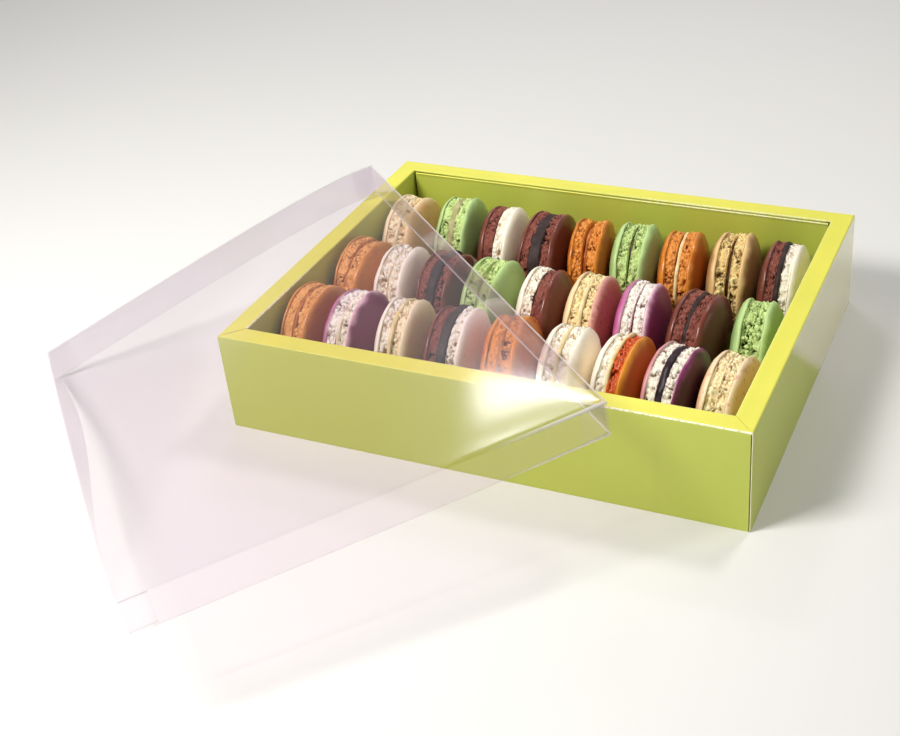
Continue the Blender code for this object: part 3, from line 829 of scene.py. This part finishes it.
def lid_ripple(u, v):
    """Low relief of the film in millimetres: a fold and a dent at two bearings that fan out from
    the hanging corner as r e^-r, a cone that bulges along the diagonal of the corner on the rim
    as r cos(k a), and a slow waviness of sines all over."""
    from_low = np.hypot((1 - u) * LID_WIDTH, v * LID_LENGTH)
    low_bearing = np.degrees(np.arctan2(v * LID_LENGTH, (1 - u) * LID_WIDTH + 1e-6))
    fold = 0.7 * np.exp(-((low_bearing - 10) / 6) ** 2) - 0.5 * np.exp(-((low_bearing - 21) / 6) ** 2)
    fan = fold * (from_low / FAN_PEAK) * np.exp(1 - from_low / FAN_PEAK) * np.clip(from_low / 8, 0, 1)
    from_high = np.hypot(u * LID_WIDTH, (1 - v) * LID_LENGTH)
    high_bearing = np.arctan2(u * LID_WIDTH, (1 - v) * LID_LENGTH + 1e-6)
    cone = CONE_SLOPE * from_high * np.cos(3.2 * (high_bearing - 0.72)) * np.exp(-from_high / CONE_REACH)
    edge = np.minimum(np.minimum(u, 1 - u) * LID_WIDTH, np.minimum(v, 1 - v) * LID_LENGTH)
    wave = np.sin(u * 21.0 + 1.3 * np.sin(v * 13.0)) * np.sin(v * 24.0 + 1.7 * np.sin(u * 9.0))
    slow = 0.22 * np.sin(u * 7.3 + 1.1) * np.sin(v * 9.1 + 0.4) + 0.07 * wave
    return FAN_HEIGHT * fan + cone + slow * np.clip(edge / CALM_EDGE, 0, 1)


def lid_point(u, v):
    """On the plate, u across the lid and v along it, both from 0 to 1, in millimetres."""
    flat = LID_CORNER + lid_across * (u * LID_WIDTH)[..., None] + lid_along * (v * LID_LENGTH)[..., None]
    return flat + SAG * lid_sag(u, v)[..., None] + lid_up * lid_ripple(u, v)[..., None]


def lid_wall_point(u, v, down):
    """On the wall below a point of the plate's edge, down from 0 at the fold to 1 at its free
    edge. The wall at u = 1 bows by one half wave and one whole wave of a sine."""
    sag = lid_sag(u, v)[..., None]
    bow = (u == 1) * (LID_BOW * np.sin(np.pi * v) + LID_BOW_SECOND * np.sin(2 * np.pi * v))
    free = lid_point(u, v) - lid_up * LID_WALL + SAG_OF_WALL * sag - lid_across * bow[..., None]
    return lid_point(u, v) * (1 - down) + free * down


# Clear folding film: a faint cool tint over what lies behind, a soft-edged mirror of the lights
# that gets strong where the film turns away, and painted white highlights along folds and free edges
def clear_film():
    finish = bpy.data.materials.new("Clear folding film")
    finish.use_nodes = True
    tree = finish.node_tree
    tree.nodes.clear()
    crease = add_node(tree, "ShaderNodeAttribute", attribute_name="crease").outputs["Fac"]
    inner = add_node(tree, "ShaderNodeAttribute", attribute_name="inner").outputs["Fac"]
    tint = add_node(tree, "ShaderNodeMix", {0: inner, 6: linear("faf7fa"), 7: linear("fefdfe")},
                    data_type="RGBA")
    clear = add_node(tree, "ShaderNodeBsdfTransparent", {"Color": tint.outputs[2]})
    mirror = add_node(tree, "ShaderNodeBsdfGlossy", {"Color": linear("ffffff"), "Roughness": 0.16})
    # Schlick's share of mirrored light, 0.04 + 0.96 (1 - cos)^5
    away = add_node(tree, "ShaderNodeLayerWeight", {"Blend": 0.5}).outputs["Facing"]
    steep = add_node(tree, "ShaderNodeMath", {0: away, 1: 5.0}, operation="POWER")
    share = add_node(tree, "ShaderNodeMath", {0: steep.outputs[0], 1: 0.96, 2: 0.04},
                     operation="MULTIPLY_ADD")
    both = add_node(tree, "ShaderNodeMixShader", {0: share.outputs[0], 1: clear.outputs[0],
                                                  2: mirror.outputs[0]})
    # Painted highlight: a white diffuse film mixed in along the folds and the free edge
    white = add_node(tree, "ShaderNodeBsdfDiffuse", {"Color": linear("f6f4f6")})
    with_highlight = add_node(tree, "ShaderNodeMixShader", {0: crease, 1: both.outputs[0], 2: white.outputs[0]})
    add_node(tree, "ShaderNodeOutputMaterial", {"Surface": with_highlight.outputs[0]})
    return finish


film = clear_film()


def give_thickness(piece, thickness):
    """Turns a single surface into a closed skin, with the thickness on its inner side."""
    solid = piece.modifiers.new("film thickness", "SOLIDIFY")
    solid.thickness = thickness * MM
    solid.offset = -1
    solid.use_even_offset = True


def lid_edge_walk():
    """Shares u and v once round the plate's edge, with the number of each place on the grid."""
    m, n = LID_STEPS_ACROSS, LID_STEPS_ALONG
    i = np.concatenate([np.arange(m), np.full(n, m), np.arange(m, 0, -1), np.zeros(n, dtype=int)])
    j = np.concatenate([np.zeros(m, dtype=int), np.arange(n), np.full(m, n), np.arange(n, 0, -1)])
    return i / m, j / n, i * (n + 1) + j


def grid_faces(shape):
    """The quads between neighbours on a grid of that shape, whose points are numbered in rows."""
    numbers = np.arange(shape[0] * shape[1]).reshape(shape)
    square = [numbers[:-1, :-1], numbers[1:, :-1], numbers[1:, 1:], numbers[:-1, 1:]]
    return np.stack(square, axis=-1).reshape(-1, 4)


def build_lid():
    """The plate as a grid that stops short of the edge by the fold's radius, then rings round
    it: a quarter circle of fold, and the walls down to their free edges."""
    steps = [np.linspace(0, 1, count + 1) for count in (LID_STEPS_ACROSS, LID_STEPS_ALONG)]
    u, v = np.meshgrid(*steps, indexing="ij")
    shrink_u, shrink_v = FILM_FOLD / LID_WIDTH, FILM_FOLD / LID_LENGTH
    plate = lid_point(shrink_u + u * (1 - 2 * shrink_u), shrink_v + v * (1 - 2 * shrink_v))
    quads = [grid_faces(u.shape)]
    edge_u, edge_v, ring = lid_edge_walk()
    points = [plate.reshape(-1, 3)]
    made = u.size
    # Painted white highlight runs along the long side over the macarons and at the end next to it
    near_side = (edge_u == 0) | ((edge_v == 1) & (edge_u < 0.35))
    highlight_reach = np.where(edge_u == 0, 1.0, 1 - fades_in(edge_u, 0.05, 0.3)) * near_side
    white = [np.zeros(made)]
    clearer = [np.zeros(made)]
    # The fold, then the walls with more steps near their free edge
    for angle in np.radians((22.5, 45.0, 67.5, 90.0)):
        inset, drop = FILM_FOLD * (1 - math.sin(angle)), FILM_FOLD * (1 - math.cos(angle))
        inner_u = np.clip(edge_u, inset / LID_WIDTH, 1 - inset / LID_WIDTH)
        inner_v = np.clip(edge_v, inset / LID_LENGTH, 1 - inset / LID_LENGTH)
        points.append(lid_point(inner_u, inner_v) - lid_up * drop)
        white.append(FOLD_HIGHLIGHT * highlight_reach)
        clearer.append(0 * highlight_reach)
    for down in (0.08, 0.2, 0.35, 0.5, 0.65, 0.8, 0.92, 0.965, 1.0):
        points.append(lid_wall_point(edge_u, edge_v, down))
        white.append((EDGE_HIGHLIGHT if down > 0.95 else 0.0) * highlight_reach)
        clearer.append(0 * highlight_reach + WALL_CLEARNESS)
    for _ in points[1:]:
        lower = made + np.arange(len(ring))
        quads.append(np.stack([ring, lower, np.roll(lower, -1), np.roll(ring, -1)], axis=-1))
        made += len(ring)
        ring = lower
    faces = np.concatenate(quads)[:, ::-1]
    lid = add_piece("lid_film", (np.concatenate(points) * MM).tolist(), faces.tolist(), film)
    lid.data.set_sharp_from_angle(angle=SHARP_FROM)
    add_attribute(lid, "crease", np.concatenate(white))
    add_attribute(lid, "inner", np.concatenate(clearer))
    give_thickness(lid, FILM)
    return lid


lid = build_lid()
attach(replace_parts(lid, "lid"), "root")

# The glued corner tabs, each just inside a short wall and beside a long one
TAB_WIDTH = 11.0
TAB_THICKNESS = 0.25
TAB_GAP = 0.55
for number, (v_end, u_start) in enumerate(((0, 0), (0, 1), (1, 0), (1, 1)), 1):
    inward = lid_along * (1 if v_end == 0 else -1) * TAB_GAP
    across = np.linspace(0.6, TAB_WIDTH, 8) / LID_WIDTH
    u, down = np.meshgrid(across if u_start == 0 else 1 - across, np.linspace(0.06, 0.985, 9), indexing="ij")
    points = lid_wall_point(u, np.full_like(u, float(v_end)), down[..., None]) + inward
    faces = grid_faces(u.shape)
    # Each faces out of the lid, and takes its thickness inwards
    facing = np.cross(points[1, 0] - points[0, 0], points[0, 1] - points[0, 0]).dot(inward)
    faces = faces if facing < 0 else faces[:, ::-1]
    tab = add_piece(f"lid_tab_{number}", (points.reshape(-1, 3) * MM).tolist(), faces.tolist(), film)
    add_attribute(tab, "crease", np.zeros(u.size))
    add_attribute(tab, "inner", np.ones(u.size))
    give_thickness(tab, TAB_THICKNESS)
    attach(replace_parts(tab, "lid"), "root")
